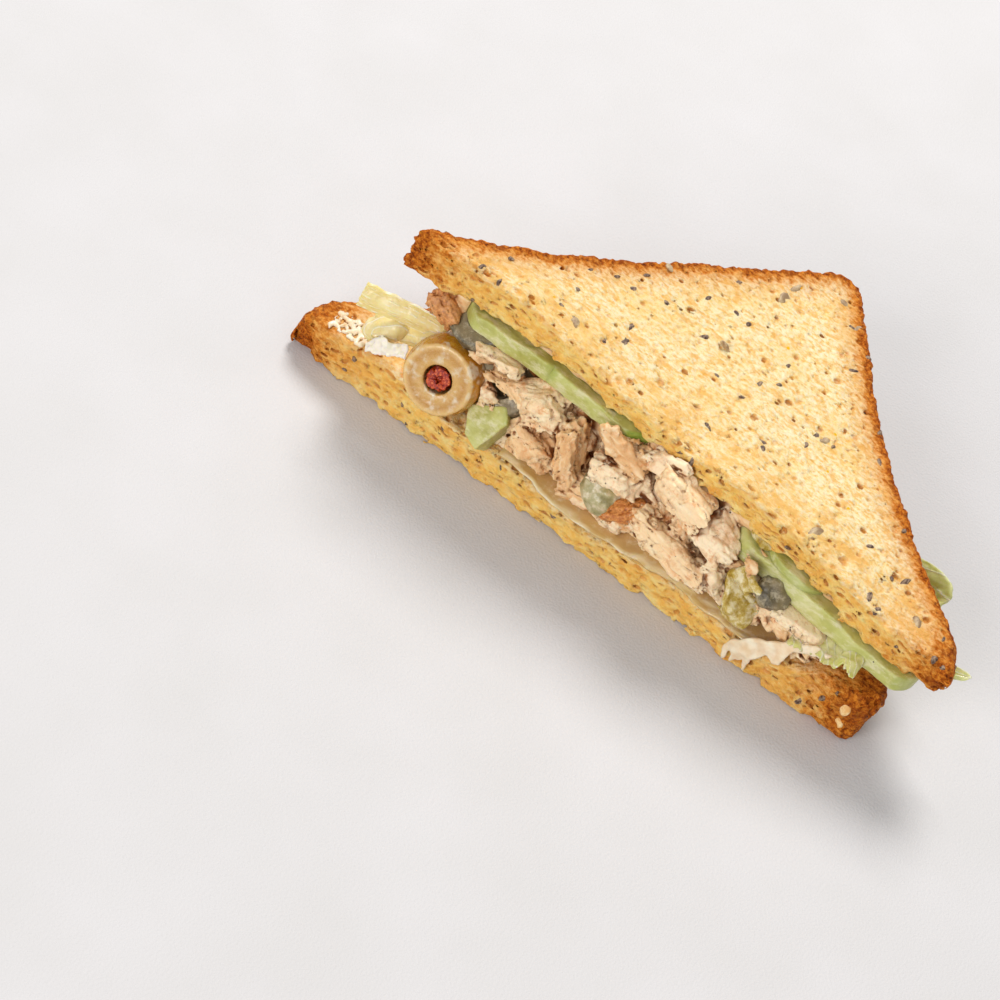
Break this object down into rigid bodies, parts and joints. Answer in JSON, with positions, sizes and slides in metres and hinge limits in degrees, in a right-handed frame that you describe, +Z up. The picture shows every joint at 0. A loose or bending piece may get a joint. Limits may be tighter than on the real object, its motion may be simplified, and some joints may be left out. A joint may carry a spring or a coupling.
{
  "type": "chicken salad sandwich",
  "caption": "Triangular half of a toasted bread sandwich, with chicken salad, cucumber, olives, pickle and lettuce showing at the diagonal cut.",
  "frame": {"origin": "on the surface that it rests on, under the middle of its bounding box", "axes": "+X along the diagonal cut, +Y from the cut towards the right-angled corner, +Z up"},
  "size_m": [0.165, 0.0854, 0.0481],
  "materials": {
    "bread": "toasted seeded bread, matte open crumb with a browned crust",
    "chicken": "torn cooked chicken in a thin dressing, moist",
    "cucumber": "wet cucumber flesh with green skin",
    "olive": "green olive in a thin dressing, glossy skin and satin flesh",
    "dark_olive": "grey-brown olive under a film of dressing",
    "pimento": "dark red pimento, wet",
    "pickle": "pickled cucumber under dressing, translucent",
    "lettuce": "pale inner lettuce leaf, translucent and satin",
    "green_lettuce": "yellow-green lettuce leaf edge, satin"
  },
  "bodies": {
    "root": {"bread_bottom": "bread", "bread_top": "bread", "chicken_salad": "chicken", "cucumber_1": "cucumber", "cucumber_2": "cucumber", "cucumber_3": "cucumber", "cucumber_4": "cucumber", "cucumber_chunk": "cucumber", "green_olive": "olive", "pimento": "pimento", "olive_slice_1": "dark_olive", "olive_slice_2": "dark_olive", "olive_chunk": "dark_olive", "pickle_crumpled": "pickle", "pickle_sliver": "pickle", "pickle_round": "pickle", "lettuce_base": "lettuce", "lettuce_strip": "lettuce", "lettuce_cup": "lettuce", "lettuce_frill": "green_lettuce", "lettuce_green": "green_lettuce", "lettuce_edge": "green_lettuce"}
  },
  "joints": []
}
